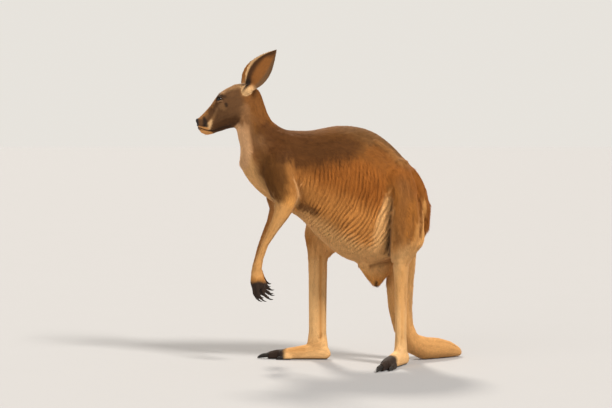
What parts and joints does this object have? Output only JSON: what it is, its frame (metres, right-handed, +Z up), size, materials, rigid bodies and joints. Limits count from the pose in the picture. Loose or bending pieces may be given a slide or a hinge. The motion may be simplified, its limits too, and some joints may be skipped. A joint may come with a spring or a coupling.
{
  "type": "red kangaroo",
  "caption": "Life-size still model of an adult red kangaroo standing on both hind feet and its tail, head up and looking ahead, arms hanging.",
  "frame": {"origin": "on the floor, in the middle of the box round the whole animal", "axes": "+Z up, the animal faces -Y, its left side is +X"},
  "size_m": [0.539, 1.1514, 1.3282],
  "materials": {
    "coat": "short dense rusty brown fur",
    "pale_coat": "short pale cream fur",
    "dark_coat": "dark skin with sparse short fur",
    "eye": "wet gloss",
    "claw": "dull horn"
  },
  "bodies": {
    "root": {"thigh_left": "coat", "shank_left": "pale_coat", "foot_left": "dark_coat", "toe_claw_left_4": "claw", "toe_claw_left_5": "claw", "toe_claw_left_2": "claw", "toe_claw_left_3": "claw", "thigh_right": "coat", "shank_right": "pale_coat", "foot_right": "dark_coat", "toe_claw_right_4": "claw", "toe_claw_right_5": "claw", "toe_claw_right_2": "claw", "toe_claw_right_3": "claw", "upper_arm_left": "coat", "forearm_left": "pale_coat", "hand_left": "dark_coat", "finger_claw_left_1": "claw", "finger_claw_left_2": "claw", "finger_claw_left_3": "claw", "finger_claw_left_4": "claw", "finger_claw_left_5": "claw", "upper_arm_right": "coat", "forearm_right": "pale_coat", "hand_right": "dark_coat", "finger_claw_right_1": "claw", "finger_claw_right_2": "claw", "finger_claw_right_3": "claw", "finger_claw_right_4": "claw", "finger_claw_right_5": "claw", "head": "coat", "neck": "coat", "trunk": "coat", "groin": "pale_coat", "tail_base": "coat", "tail_middle": "pale_coat", "tail_tip": "pale_coat", "ear_left": "coat", "ear_right": "coat", "eye_left": "eye", "eye_right": "eye"}
  },
  "joints": []
}
